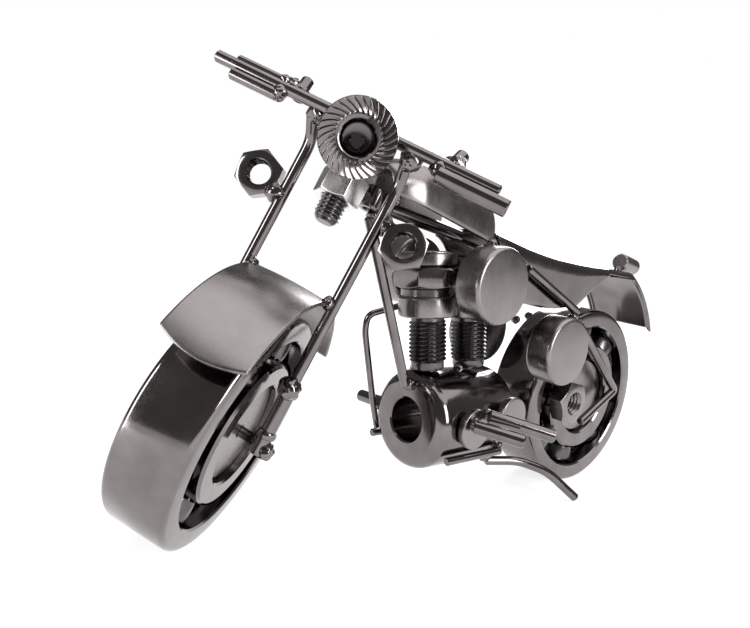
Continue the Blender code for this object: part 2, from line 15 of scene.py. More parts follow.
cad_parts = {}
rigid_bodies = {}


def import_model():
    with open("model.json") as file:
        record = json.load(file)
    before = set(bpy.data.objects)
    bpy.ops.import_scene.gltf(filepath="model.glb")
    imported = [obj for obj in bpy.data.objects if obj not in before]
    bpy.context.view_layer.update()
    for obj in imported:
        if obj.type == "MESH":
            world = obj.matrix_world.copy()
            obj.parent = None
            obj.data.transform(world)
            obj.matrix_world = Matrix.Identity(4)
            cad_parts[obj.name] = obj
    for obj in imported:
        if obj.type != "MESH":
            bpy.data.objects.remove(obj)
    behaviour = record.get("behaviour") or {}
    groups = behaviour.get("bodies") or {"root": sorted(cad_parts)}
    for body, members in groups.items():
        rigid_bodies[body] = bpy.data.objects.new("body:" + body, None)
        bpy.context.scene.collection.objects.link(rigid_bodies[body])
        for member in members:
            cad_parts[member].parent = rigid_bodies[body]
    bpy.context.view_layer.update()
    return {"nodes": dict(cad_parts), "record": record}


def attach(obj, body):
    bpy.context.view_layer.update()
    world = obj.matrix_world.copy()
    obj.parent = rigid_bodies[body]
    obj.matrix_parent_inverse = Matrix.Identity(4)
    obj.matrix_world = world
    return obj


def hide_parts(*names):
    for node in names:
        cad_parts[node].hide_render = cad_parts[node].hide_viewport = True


MM = 0.001
TURN = 2 * math.pi

# ---- the CAD's driving sizes, in millimetres -------------------------------------------------------
WHEEL_OD, WHEEL_W, WHEEL_BORE, BALL_D, BALLS, PITCH_R, LAND = 47.0, 12.6, 20.0, 7.9, 8, 16.7, 2.4
RIM_EDGE, FACETS, AXLE_D, RUN, GAP = 1.1, 40, 2.1, 0.1, 0.3
FORK_RAKE, STEER, STEM_RAKE = math.radians(31.0), math.radians(40.3), math.radians(25.0)
FRONT_AXLE, NECK = (101.8, -6.5), (85.0, 0.65, 68.2)
STEM_D, STEM_BELOW, STEM_ABOVE, ROD_D, SLEEVE_D = 5.0, 7.2, 5.0, 2.2, 2.9
LEG_CLEAR, LEG_SLOPE, LEG_BEND = {"left": 1.85, "right": 1.15}, 0.235, 51.4
BAR_FORWARD, BAR_UP, BAR_LENGTH = 19.8, 55.1, 56.5
FENDER_GAP, FENDER_HALF, SHEET = 4.4, 7.75, 0.9
FENDER_FROM, FENDER_TO = math.radians(17), math.radians(128)
SMALL_AF, SMALL_H, SMALL_BORE, NUT_SPIN = 8.0, 5.6, 2.15, 40
HUB_AF, HUB_H, HUB_BORE = 10.0, 4.0, 2.6
LAMP_AF, LAMP_FLANGE_D, LAMP_BORE, TEETH = 10.0, 13.4, 2.95, 30
BOLT_D, BOLT_AF, COLLAR_D, CAP_D = 8.3, 13.0, 12.9, 12.7
BOLT_LEAN = Vector((0.09, -0.09, 1.0))
TUBE_D, TUBE_BORE, TUBE_BACK, TUBE_FRONT, TUBE_Z = 21.8, 9.6, 35.0, 60.0, 21.3
BOLT_XS, SLUG_D, SLUG_T = (55.3, 41.8), 16.2, 6.7
SLUG_Y, SLUGS = {"left": 8.3, "right": 9.7}, ((51.8, 53.0), (24.3, 38.4))
DISC_D, DISC_T, PEG_D = 8.8, 1.5, 2.9
TANK_HALF, TANK_H, TANK_ROLL = 8.0, 8.2, math.radians(6)
TANK_FRONT, TANK_BACK, SEAT_HALF = (76.2, 68.3), (49.3, 61.3), 9.0


# ---- how corners, bores and threads are finished ---------------------------------------------------
# A nut's round face as a share of its flats, the cone on its corners, its countersink and its thread.
FACE_SHARE, CORNER_CONE, SINK, TAP_DEPTH = 0.97, math.radians(32), 0.45, 0.32
# A shank's thread: how steep its flanks are, how much is root, and the share of a pitch where it fades out.
FLANK, ROOT, RUN_OUT = 1.25, 0.1, 0.6
# The most of a straight stretch of rod that a bend may take up.
BEND_SHARE = 0.45

wheel_r, half_w = WHEEL_OD / 2, WHEEL_W / 2
leg_side = {side: half_w + clear + SLEEVE_D / 2 for side, clear in LEG_CLEAR.items()}
axle_z = wheel_r * math.cos(math.pi / FACETS)

for old in list(bpy.data.objects):
    bpy.data.objects.remove(old, do_unlink=True)
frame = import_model()
scene = bpy.context.scene
record = frame["record"]
BODY_OF = {node: body for body, nodes in record["behaviour"]["bodies"].items() for node in nodes}
SLOT_OF = {row["node"]: row["material_slot"] for row in record["subparts"]}


# ---- axes ------------------------------------------------------------------------------------------
def axis_frame(axis, origin=(0, 0, 0)):
    """A frame whose Z runs along the axis and whose X is level where it can be."""
    z = Vector(axis).normalized()
    hint = Vector((0, 0, 1)) if abs(z.z) < 0.9 else Vector((1, 0, 0))
    x = hint.cross(z).normalized()
    out = Matrix((x, z.cross(x), z)).transposed().to_4x4()
    out.translation = Vector(origin)
    return out


def lift(height):
    return Matrix.Translation((0, 0, height))


def spin(degrees):
    return Matrix.Rotation(math.radians(degrees), 4, "Z")


up = Vector((-math.sin(FORK_RAKE), 0, math.cos(FORK_RAKE)))
left = Matrix.Rotation(STEER, 3, up) @ Vector((0, 1, 0))
low_edge = wheel_r * math.hypot(left.x, left.y) + (half_w - RIM_EDGE) * abs(left.z)
FORK = Matrix((left.cross(up), left, up)).transposed().to_4x4()
FORK.translation = (FRONT_AXLE[0], FRONT_AXLE[1], low_edge + 0.02)
stem_up = Vector((-math.sin(STEM_RAKE), 0, math.cos(STEM_RAKE)))
STEM = Matrix((Vector((0, 1, 0)).cross(stem_up), Vector((0, 1, 0)), stem_up)).transposed().to_4x4()
STEM.translation = Vector(NECK)
ON_AXLE = Matrix(((-1, 0, 0, 0), (0, 0, 1, 0), (0, 1, 0, 0), (0, 0, 0, 1)))
BIKE = Matrix.Identity(4)
REAR, FRONT = lift(axle_z) @ ON_AXLE, FORK @ ON_AXLE


# ---- metals ----------------------------------------------------------------------------------------
PATCH_SCALE, SCRATCH_SCALE, SCRATCH_DEPTH = 180, 5200, 0.00001


def metal(name, colour, roughness, grain, tint, bump):
    """Plated metal: cloudy tint, fine scratches along Z of the bike, and roughness that varies with both."""
    mat = bpy.data.materials.new(name)
    mat.use_nodes = True
    nodes, links = mat.node_tree.nodes, mat.node_tree.links
    shader = nodes["Principled BSDF"]
    shader.inputs["Metallic"].default_value = 1.0
    where = nodes.new("ShaderNodeTexCoord")

    def cloud(scale, stretch, detail):
        mapping = nodes.new("ShaderNodeMapping")
        mapping.inputs["Scale"].default_value = stretch
        field = nodes.new("ShaderNodeTexNoise")
        field.inputs["Scale"].default_value = scale
        field.inputs["Detail"].default_value = detail
        links.new(where.outputs["Object"], mapping.inputs["Vector"])
        links.new(mapping.outputs["Vector"], field.inputs["Vector"])
        return field.outputs["Fac"]

    def ramp(source, low, high, start=0.3, end=0.7):
        out = nodes.new("ShaderNodeMapRange")
        for socket, value in (("From Min", start), ("From Max", end), ("To Min", low), ("To Max", high)):
            out.inputs[socket].default_value = value
        links.new(source, out.inputs["Value"])
        return out.outputs["Result"]

    patches = cloud(PATCH_SCALE, (1, 1, 1), 4)
    lines = cloud(SCRATCH_SCALE, (1, 1, grain), 2)
    mix = nodes.new("ShaderNodeMix")
    mix.data_type = "RGBA"
    mix.inputs["A"].default_value = (*[c * (1 - tint) for c in colour], 1)
    mix.inputs["B"].default_value = (*[min(1, c * (1 + tint)) for c in colour], 1)
    links.new(ramp(patches, 0, 1), mix.inputs["Factor"])
    links.new(mix.outputs["Result"], shader.inputs["Base Color"])
    add_up = nodes.new("ShaderNodeMath")
    add_up.operation = "ADD"
    links.new(ramp(patches, roughness * 0.8, roughness * 1.15), add_up.inputs[0])
    links.new(ramp(lines, -0.03, 0.05), add_up.inputs[1])
    links.new(add_up.outputs[0], shader.inputs["Roughness"])
    height = nodes.new("ShaderNodeBump")
    height.inputs["Strength"].default_value = bump
    height.inputs["Distance"].default_value = SCRATCH_DEPTH
    links.new(lines, height.inputs["Height"])
    links.new(height.outputs["Normal"], shader.inputs["Normal"])
    return mat


METALS = {
    "black_nickel": metal("black_nickel", (0.185, 0.166, 0.166), 0.12, 0.5, 0.14, 0.02),
    "brushed": metal("brushed", (0.25, 0.23, 0.226), 0.29, 0.03, 0.10, 0.1),
    "bright": metal("bright", (0.78, 0.76, 0.75), 0.28, 0.05, 0.06, 0.04),
    "dark_steel": metal("dark_steel", (0.13, 0.12, 0.125), 0.24, 0.4, 0.2, 0.03),
}


# ---- making pieces ---------------------------------------------------------------------------------
def place(name, mesh, at=BIKE):
    obj = bpy.data.objects.new(name, mesh)
    scene.collection.objects.link(obj)
    obj.matrix_world = at
    return obj


def mesh_of(work, name):
    bmesh.ops.recalc_face_normals(work, faces=work.faces)
    mesh = bpy.data.meshes.new(name)
    work.to_mesh(mesh)
    work.free()
    return mesh


def settle(obj, node=None, body=None, look=None, edge=0.15, sharp=36):
    """Applies a piece's modifiers, turns it into metres in the CAD's axes, and hands it to its body."""
    if edge:
        bevel = obj.modifiers.new("edges", "BEVEL")
        bevel.width, bevel.segments = edge, 2
        bevel.limit_method, bevel.angle_limit = "ANGLE", math.radians(sharp)
    bpy.context.view_layer.update()
    graph = bpy.context.evaluated_depsgraph_get()
    mesh = bpy.data.meshes.new_from_object(obj.evaluated_get(graph))
    mesh.transform(Matrix.Scale(MM, 4) @ obj.matrix_world)
    work = bmesh.new()
    work.from_mesh(mesh)
    for face in work.faces:
        face.smooth = True
    for rim in work.edges:
        rim.smooth = len(rim.link_faces) == 2 and rim.calc_face_angle(0) < math.radians(sharp)
    work.to_mesh(mesh)
    work.free()
    slot = look or SLOT_OF[node]
    mesh.materials.clear()
    mesh.materials.append(METALS[slot])
    name = f"{node}_fine" if node else obj.name
    helpers = [m.object for m in obj.modifiers if m.type == "BOOLEAN"]
    for done in helpers + [obj]:
        bpy.data.objects.remove(done, do_unlink=True)
    piece = bpy.data.objects.new(name, mesh)
    scene.collection.objects.link(piece)
    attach(piece, body or BODY_OF[node])
    if node:
        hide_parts(node)
    return piece


def cut(obj, tool):
    step = obj.modifiers.new("cut", "BOOLEAN")
    step.operation, step.solver, step.object = "DIFFERENCE", "EXACT", tool


def loop(radii, height):
    """Points about Z at equal angles from +X, one for each radius."""
    sides = len(radii)
    return [(r * math.cos(TURN * k / sides), r * math.sin(TURN * k / sides), height)
            for k, r in enumerate(radii)]


def circle(radius, height, sides):
    return loop([radius] * sides, height)


def loops_mesh(name, loops, ring=False):
    """Skins equal loops of points one after the other, and closes the ends or joins them into a ring."""
    work = bmesh.new()
    rows = [[work.verts.new(point) for point in row] for row in loops]
    pairs = list(zip(rows, rows[1:] + rows[:1])) if ring else list(zip(rows, rows[1:]))
    for lower, upper in pairs:
        for k in range(len(lower)):
            work.faces.new((lower[k - 1], lower[k], upper[k], upper[k - 1]))
    if not ring:
        work.faces.new(rows[0])
        work.faces.new(rows[-1])
    return mesh_of(work, name)


def turned(name, profile, at=BIKE, sides=96, ring=False):
    """Turns (radius, height) points about Z. A ring's close on themselves."""
    loops = [circle(r, h, sides) for r, h in profile if r > 0]
    return place(name, loops_mesh(name, loops, ring), at)


def drum(name, diameter, height, at=BIKE, sides=96):
    r = diameter / 2
    return turned(name, [(r, 0), (r, height)], at, sides)


def rounded_side(radius, low, high, size):
    """The side of a turned piece from low to high, with both of its rims rounded."""
    angles = [math.radians(a) for a in (0, 22, 45, 68, 90)]
    arc = [(size * (1 - math.sin(a)), size * (1 - math.cos(a))) for a in angles]
    return [(radius - r, low + z) for r, z in arc] + [(radius - r, high - z) for r, z in reversed(arc)]


def rounded(path, radius, steps=10):
    """A path with each corner replaced by a bend."""
    path = [Vector(point) for point in path]
    out = [path[0]]
    for before, corner, after in zip(path, path[1:], path[2:]):
        into, away = before - corner, after - corner
        start = corner + into.normalized() * min(radius, into.length * BEND_SHARE)
        end = corner + away.normalized() * min(radius, away.length * BEND_SHARE)
        for k in range(steps + 1):
            t = k / steps
            out.append(start * (1 - t) ** 2 + corner * 2 * t * (1 - t) + end * t ** 2)
    out.append(path[-1])
    return out


def rod(name, path, diameter, at=BIKE, bend=0.0, sides=28, edge=0.25):
    """A round rod swept along a path, its ends broken by a small chamfer."""
    path = rounded(path, bend) if bend else [Vector(p) for p in path]
    first, last = (path[1] - path[0]).normalized(), (path[-1] - path[-2]).normalized()
    ways = [first] + [(b - a).normalized() for a, b in zip(path, path[2:])] + [last]
    r = diameter / 2
    stops = [(path[0], first, r - edge), (path[0] + first * edge, first, r)]
    stops += [(point, way, r) for point, way in zip(path[1:-1], ways[1:-1])]
    stops += [(path[-1] - last * edge, last, r), (path[-1], last, r - edge)]
    side = first.orthogonal().normalized()
    loops = []
    for point, way, reach in stops:
        side = (side - way * side.dot(way)).normalized()
        other = way.cross(side)
        loops.append([point + (side * x + other * y) * reach for x, y, _ in circle(1, 0, sides)])
    return place(name, loops_mesh(name, loops), at)


def hex_reach(half_flats, angle):
    """How far a hexagon's side is from its axis, at an angle from the middle of a side."""
    return half_flats / math.cos((angle + math.pi / 6) % (math.pi / 3) - math.pi / 6)


def zigzag(turns):
    """A V groove's shape: 1 on the crest, 0 at the root, repeating each turn."""
    return abs(2 * (turns % 1) - 1)


def hexagon(name, flats, height, bore=0.0, at=BIKE, pitch=0.0):
    """A nut or head from z = 0 up: a cone turns its corners off, and its bore is countersunk and tapped."""
    sides, per_turn, half = 96, 9, flats / 2

    def outline(z_end, toward):
        """The hexagon's rim where the cone crosses it."""
        for k in range(sides):
            a = TURN * k / sides
            reach = hex_reach(half, a)
            drop = max(0.0, reach - half * FACE_SHARE) * math.tan(CORNER_CONE)
            yield (reach * math.cos(a), reach * math.sin(a), z_end + toward * drop)

    rows = [circle(half * FACE_SHARE, 0, sides), list(outline(0, 1)), list(outline(height, -1)),
            circle(half * FACE_SHARE, height, sides)]
    if bore:
        rows = [circle(bore + SINK, 0, sides)] + rows + [circle(bore + SINK, height, sides)]
        count = per_turn * max(1, round(height / pitch)) if pitch else per_turn
        for j in range(count + 1):
            z = height - SINK - (height - 2 * SINK) * j / count
            depths = [TAP_DEPTH * zigzag(z / pitch - k / sides) if pitch else 0 for k in range(sides)]
            rows.append(loop([bore + depth for depth in depths], z))
    return place(name, loops_mesh(name, rows, bool(bore)), at)


def threaded(name, core, crest, low, high, pitch, at, before=(), after=()):
    """A turned shank whose middle carries a V thread. before and after are plain (radius, height) points."""
    sides, per_turn = 96, 10
    rows = [circle(r, z, sides) for r, z in before]
    count = round((high - low) / pitch * per_turn)
    for j in range(count + 1):
        z = low + (high - low) * j / count
        fade = min(1.0, (z - low) / (RUN_OUT * pitch), (high - z) / (RUN_OUT * pitch))
        shape = [min(1.0, max(0.0, zigzag(z / pitch - k / sides) * FLANK - ROOT)) for k in range(sides)]
        rows.append(loop([core + (crest - core) * depth * fade for depth in shape], z))
    rows += [circle(r, z, sides) for r, z in after]
    return place(name, loops_mesh(name, rows), at)


def bent_sheet(name, surface, along, across, at=BIKE):
    """Bent sheet: a fine grid laid on a surface of (0..1 along, -1..1 across), given its thickness."""
    work = bmesh.new()
    bmesh.ops.create_grid(work, x_segments=along, y_segments=across, size=1.0)
    for vert in work.verts:
        vert.co = surface((vert.co.x + 1) / 2, vert.co.y)
    obj = place(name, mesh_of(work, name), at)
    solid = obj.modifiers.new("thickness", "SOLIDIFY")
    solid.thickness, solid.offset, solid.use_even_offset = SHEET, 0.0, True
    return obj


# ---- wheels ----------------------------------------------------------------------------------------
groove_r = BALL_D / 2 + RUN


def groove(outward, steps=14):
    """The raceway's arc between its two lands, as (radius, height) points going up."""
    reach = math.acos(LAND / groove_r)
    angles = [reach * (2 * k / steps - 1) for k in range(steps + 1)]
    return [(PITCH_R + outward * groove_r * math.cos(a), groove_r * math.sin(a)) for a in angles]


def ribbon(name, sign, at):
    """One pressed half of a cage: pockets bulge over the balls, with flats between them for the rivets."""
    per_ball, half, thick, clear, least = 28, 1.9, 0.45, 0.12, 0.03
    crown, under, over = half * 0.6, 0.12, 0.15
    count = BALLS * per_ball
    loops = []
    for k in range(count):
        a = TURN * k / count
        off = ((a / TURN * BALLS + 0.5) % 1 - 0.5) * TURN / BALLS * PITCH_R
        low = max(least, math.sqrt(max(0.0, (BALL_D / 2 + clear) ** 2 - off ** 2)))
        high = low + thick
        section = ((-half, low), (-crown, low + under), (crown, low + under), (half, low),
                   (half, high), (crown, high + over), (-crown, high + over), (-half, high))
        places = [(PITCH_R + r, sign * z) for r, z in section]
        loops.append([(r * math.cos(a), r * math.sin(a), z) for r, z in places])
    return place(name, loops_mesh(name, loops, True), at)


def sphere(name, radius, at, detail=4):
    work = bmesh.new()
    bmesh.ops.create_icosphere(work, subdivisions=detail, radius=radius)
    return place(name, mesh_of(work, name), at)


def gather(name, objects):
    """Several plain objects as one mesh in the CAD's millimetre axes."""
    work = bmesh.new()
    for obj in objects:
        mesh = obj.data
        mesh.transform(obj.matrix_world)
        work.from_mesh(mesh)
        bpy.data.objects.remove(obj, do_unlink=True)
    mesh = bpy.data.meshes.new(name)
    work.to_mesh(mesh)
    work.free()
    return place(name, mesh)


RIVET = [(0.85, 0.4), (0.8, 0.62), (0.6, 0.8), (0.3, 0.88)]


def outer_ring(label, hub):
    land, lip, sides = PITCH_R + LAND, 0.35, 160
    rim = [(land, lip - half_w), (land + lip, -half_w)] + rounded_side(wheel_r, -half_w, half_w, RIM_EDGE)
    rim += [(land + lip, half_w), (land, half_w - lip)] + groove(1)[::-1]
    ring = turned(label + "_outer", rim, hub @ spin(180 / sides), sides, True)
    settle(ring, label + "_outer_ring", edge=0)


def inner_ring(label, hub):
    land, bore, lip, e = PITCH_R - LAND, WHEEL_BORE / 2, 0.4, 0.5
    rim = [(bore, lip - half_w), (bore + lip, -half_w), (land - e, -half_w), (land, e - half_w)] + groove(-1)
    rim += [(land, half_w - e), (land - e, half_w), (bore + lip, half_w), (bore, half_w - lip)]
    settle(turned(label + "_inner", rim, hub, 128, True), label + "_inner_ring", edge=0)


def balls_and_cage(label, hub):
    outward = Matrix.Translation((PITCH_R, 0, 0))
    balls = [sphere("ball", BALL_D / 2, hub @ spin(360 * k / BALLS) @ outward) for k in range(BALLS)]
    settle(gather(label + "_balls", balls), None, BODY_OF[label + "_ball_cage"], "black_nickel", 0)
    plates = [ribbon("ribbon", sign, hub) for sign in (-1, 1)]
    for k in range(BALLS):
        between = hub @ spin(360 * (k + 0.5) / BALLS) @ outward
        for sign in (-1, 1):
            plates.append(turned("rivet", RIVET, between @ Matrix.Diagonal((1, sign, sign, 1)), 24))
    settle(gather(label + "_ribbons", plates), label + "_ball_cage", edge=0)


def hub_disc(label, hub, hole):
    thick, lip, r = WHEEL_W - 3.0, 0.4, WHEEL_BORE / 2 - GAP / 3
    rim = [(r - lip, 0), (r, lip), (r, thick - lip), (r - lip, thick)]
    if hole:
        bore, mouth, deep = AXLE_D / 2 + RUN, AXLE_D / 2 + 0.3, 0.3
        rim += [(mouth, thick), (bore, thick - deep), (bore, deep), (mouth, 0)]
    settle(turned(label + "_disc", rim, hub @ lift(-thick / 2), ring=hole), label + "_hub_disc", edge=0)


def wheel(label, hub, hole):
    outer_ring(label, hub)
    inner_ring(label, hub)
    balls_and_cage(label, hub)
    hub_disc(label, hub, hole)


wheel("rear", REAR, False)
wheel("front", FRONT, True)

# ---- engine ----------------------------------------------------------------------------------------
tube_r, tube_length, bore_r = TUBE_D / 2, TUBE_FRONT - TUBE_BACK, TUBE_BORE / 2
NOSE_ROUND = 3
round_edge = [(tube_r - NOSE_ROUND * (1 - math.sin(a)), tube_length - NOSE_ROUND * (1 - math.cos(a)))
              for a in (math.radians(90 - 7.5 * k) for k in range(13))]
tube = [(bore_r, 0.4), (bore_r + 0.4, 0), (tube_r - 1, 0), (tube_r - 0.3, 0.3), (tube_r, 1)] + round_edge
tube += [(bore_r + 0.35, tube_length), (bore_r, tube_length - 0.35)]
settle(turned("tube", tube, axis_frame((1, 0, 0), (TUBE_BACK, 0, TUBE_Z)), 128, True), "engine_tube", edge=0)

core, SHANK_H, COLLAR_H, HEX_H, CAP_H, PITCH = BOLT_D / 2 - 0.5, 11.7, 6.2, 4.5, 3.0, 0.92


def cylinder(label, x):
    """A threaded shank that stands on the tube, with a stepped collar, a hexagon and a cap over it."""
    stand = axis_frame(BOLT_LEAN, (x, 0, TUBE_Z + tube_r + GAP))
    collar_low = SHANK_H + GAP / 3
    hex_low = collar_low + COLLAR_H + GAP / 3
    foot, neck = [(core - 0.3, 0), (core, 0.5), (core, 1.6)], [(core, SHANK_H - 0.6), (core, SHANK_H)]
    shank = threaded("thread", core, BOLT_D / 2, 1.7, SHANK_H - 0.7, PITCH, stand, foot, neck)
    settle(shank, f"{label}_cylinder_bolt", edge=0)
    r = COLLAR_D / 2
    collar = [(r - 0.35, 0), (r, 0.35), (r, 4.1), (r - 0.3, 4.5), (r - 0.6, 4.6), (r - 0.6, COLLAR_H - 0.2),
              (r - 0.8, COLLAR_H)]
    settle(turned("collar", collar, stand @ lift(collar_low)), f"{label}_cylinder_collar", edge=0.08)
    head = hexagon("hex", BOLT_AF, HEX_H, 0, stand @ lift(hex_low) @ spin(30))
    settle(head, f"{label}_cylinder_hex", edge=0.12)
    r = CAP_D / 2
    cap = [(r - 0.5, 0), (r, 0.4), (r, CAP_H - 0.6), (r - 0.2, CAP_H - 0.2), (r - 0.7, CAP_H)]
    settle(turned("cap", cap, stand @ lift(hex_low + HEX_H + GAP / 3)), f"{label}_cylinder_cap", edge=0)


for label, x in zip(("front", "rear"), BOLT_XS):
    cylinder(label, x)


def puck(diameter, thick, edge, at, node):
    """A cut slug with rounded rims."""
    settle(turned("puck", rounded_side(diameter / 2, 0, thick, edge), at), node, edge=0)


for side, label in ((1, "left"), (-1, "right")):
    for level, (x, z) in zip(("upper", "lower"), SLUGS):
        face = axis_frame((0, side, 0), (x, side * SLUG_Y[label], z))
        puck(SLUG_D, SLUG_T, 0.9, face, f"{level}_slug_{label}")
for level, x, z in (("front", 51.0, 22.0), ("rear", 38.8, 23.6)):
    puck(DISC_D, DISC_T, 0.3, axis_frame((0, 1, 0), (x, tube_r + GAP, z)), f"{level}_side_disc")
peg_y = tube_r + GAP + DISC_T + GAP
settle(rod("pipe", [(53.2, peg_y + 0.6, 23.4), (47.6, peg_y + 9.6, 22.3)], PEG_D), "front_pipe", edge=0)
settle(rod("pipe", [(49.4, peg_y + 0.9, 25.3), (38.6, peg_y + 10.4, 22.6)], PEG_D), "rear_pipe", edge=0)
peg = Vector((56.3, -tube_r - GAP - 0.2, 21.3))
settle(rod("peg", [peg, peg + Vector((0, -1, -0.05)).normalized() * 8.6], PEG_D), "peg_right", edge=0)

# ---- frame -----------------------------------------------------------------------------------------
nut = hexagon("nut", SMALL_AF, SMALL_H, STEM_D / 2 + RUN, STEM @ lift(-SMALL_H / 2) @ spin(NUT_SPIN))
settle(nut, "steering_nut", edge=0.1)
BOSS_R, BOSS_BORE, BOSS_HALF = 2.3, 0.9, 2.2
boss = Vector(NECK) + Vector((-SMALL_AF / math.sqrt(3) - BOSS_R - GAP - 0.5, 0, -1.2))
half_boss = [(BOSS_R, 1.8), (BOSS_R - 0.4, BOSS_HALF), (BOSS_BORE + 0.2, BOSS_HALF), (BOSS_BORE, 1.9)]
boss_loop = [(r, -z) for r, z in reversed(half_boss)] + half_boss
settle(turned("boss", boss_loop, axis_frame(stem_up, boss), 64, True), "neck_boss", edge=0)
tube_foot = Vector((TUBE_FRONT + 1.4, 0, TUBE_Z + tube_r - 3.2))
settle(rod("down", [boss + Vector((0.2, 0, -3.4)), tube_foot], 2.1), "down_tube", edge=0)
spine = [boss + Vector((-4.2, 0, -1.3)), (58.0, 0, 63.3), (50.9, 0, 62.0)]
settle(rod("spine", spine, 2.8, bend=3), "backbone", edge=0)

for side, label in ((1, "left"), (-1, "right")):
    y = side * (SEAT_HALF + SHEET / 2 + 1.0 + GAP)
    settle(rod("strut", [(39.4, y, 56.9), (17.2, y, 47.3)], 2.0), f"seat_strut_{label}", edge=0)
    y = side * (tube_r - 0.5)
    settle(rod("rail", [(58.4 - 1.6 * side, y, 14.9), (39.0, y, 15.0)], 1.8), f"lower_rail_{label}", edge=0)
    y = side * (half_w + ROD_D / 2 + 0.7)
    stay = [Vector((10.4, y, 43.3)), (-12.0, y, axle_z + 1.5), (2.9, y, axle_z - 6.3)]
    settle(rod("stay", stay, ROD_D, bend=1.6), f"rear_stay_{label}", edge=0)
    nut_face = axis_frame((0, side, 0), (11.2, side * (half_w + GAP), axle_z + 0.2))
    hub_nut = hexagon("nut", HUB_AF, HUB_H, HUB_BORE, nut_face @ spin(20), 0.9)
    settle(hub_nut, f"hub_nut_{label}", edge=0)
foot = [(35.4, 4.2, 9.8), (27.6, 8.0, 10.0), (20.2, 11.6, 7.4), (13.55, 16.55, 1.25)]
settle(rod("stand", foot, ROD_D, bend=3), "kickstand", edge=0)
wire_y = -tube_r - GAP - 0.75
lever_path = [(56.6, wire_y + 3, 45.2), (64.0, wire_y, 42.4), (64.4, wire_y, 38.9), (59.3, wire_y, 21.7),
              (57.0, wire_y, 15.2)]
settle(rod("lever", lever_path, 1.5, bend=1.8), "foot_lever", edge=0)


# ---- tank, seat and tail light ---------------------------------------------------------------------
def tank_surface(u, v):
    """An arched roof, narrower and lower towards its nose."""
    front, back = Vector((TANK_FRONT[0], 0, TANK_FRONT[1])), Vector((TANK_BACK[0], 0, TANK_BACK[1]))
    nose_width, nose_height = 0.62, 0.55
    width = nose_width + (1 - nose_width) * min(1.0, u / 0.22) ** 0.6
    height = nose_height + (1 - nose_height) * min(1.0, u / 0.3) ** 0.7
    a = math.pi / 2 * (1 + v)
    side = TANK_HALF * width * math.copysign(math.sqrt(abs(math.cos(a))), math.cos(a))
    roll = (TANK_HALF - side) * math.tan(TANK_ROLL)
    return front.lerp(back, u) + Vector((0, side, TANK_H * height * math.sin(a) ** 0.8 + roll))


# The cowl's top as (x, z) places from its nose, and the height of its hem below each.
SEAT_TOP = ((48.6, 63.0), (43.0, 61.9), (37.2, 60.7), (31.0, 59.7), (25.1, 58.9), (16.0, 58.2), (9.0, 57.8),
            (3.0, 57.6))
SEAT_HEM = (60.8, 55.0, 48.9, 48.1, 47.8, 48.5, 53.3, 56.7)
TAIL_GAPS, TAIL_SHARE, TAIL_HEM = (11.7, 7.7), 0.9, 0.9
TAIL_FROM, TAIL_TO = math.radians(106), math.radians(142)
CROWN, SHOULDER, CROWN_SCALE, CROWN_REACH, CROWN_DROP = 0.55, 0.75, 0.62, 0.887, 0.3


def cowl_section(stop):
    """The cowl's middle, the way that its sides hang and how far, at a stop along SEAT_TOP."""
    k = min(int(stop), len(SEAT_TOP) - 2)
    t = stop - k
    x, z = (SEAT_TOP[k][i] * (1 - t) + SEAT_TOP[k + 1][i] * t for i in (0, 1))
    drop = z - (SEAT_HEM[k] * (1 - t) + SEAT_HEM[k + 1] * t)
    slug_x, slug_z = SLUGS[0]
    reach = SLUG_D / 2 + SHEET
    if abs(x - slug_x) < reach:
        drop = min(drop, z - slug_z - math.sqrt(reach ** 2 - (x - slug_x) ** 2))
    return Vector((x, 0, z)), Vector((0, 0, -1)), drop


def strip_section(t):
    """The same three for the strip behind the wheel, at t from 0 to 1 along it."""
    bend = max(0.0, t / 0.75 - 1 / 3)
    a = TAIL_FROM + (TAIL_TO - TAIL_FROM) * bend
    inward = Vector((-math.cos(a), 0, -math.sin(a)))
    gap = TAIL_GAPS[0] + (TAIL_GAPS[1] - TAIL_GAPS[0]) * bend
    centre = Vector((0, 0, axle_z)) - inward * (wheel_r + gap)
    last = Vector((SEAT_TOP[-1][0], 0, SEAT_TOP[-1][1]))
    return last.lerp(centre, min(1.0, t / 0.25)), inward, TAIL_HEM


def seat_surface(u, v):
    """A cowl with hanging sides that runs on as a plain strip behind the wheel."""
    steps = len(SEAT_TOP) - 1
    stop = u * (1 + TAIL_SHARE) * steps
    if stop <= steps:
        centre, inward, drop = cowl_section(stop)
    else:
        centre, inward, drop = strip_section((stop - steps) / (TAIL_SHARE * steps))
    side = abs(v)
    if side < CROWN:
        y, down = SEAT_HALF * side / CROWN_SCALE, -CROWN_DROP * (1 - side)
    elif side < SHOULDER:
        t = (side - CROWN) / (SHOULDER - CROWN)
        y, down = SEAT_HALF * (CROWN_REACH + (1 - CROWN_REACH) * t), TAIL_HEM * t ** 2
    else:
        t = (side - SHOULDER) / (1 - SHOULDER)
        y, down = SEAT_HALF, TAIL_HEM + (drop - TAIL_HEM) * t
    return centre + Vector((0, math.copysign(y, v), 0)) + inward * down


settle(bent_sheet("tank", tank_surface, 48, 48), "tank", edge=0.1, sharp=50)
settle(bent_sheet("seat", seat_surface, 120, 60), "seat_and_rear_fender", edge=0.1, sharp=50)
light = axis_frame((-1, 0, -0.18), (-8.8, 5.0, 60.4))
rim = [(1.95, 0), (2.25, 0.3), (2.25, 7.0), (2.0, 7.5), (1.8, 7.6), (1.5, 7.3)]
settle(turned("light", rim, light, 64), "tail_light", edge=0)


# ---- fork ------------------------------------------------------------------------------------------
def leg_forward(height):
    return 1.0 + LEG_SLOPE * height


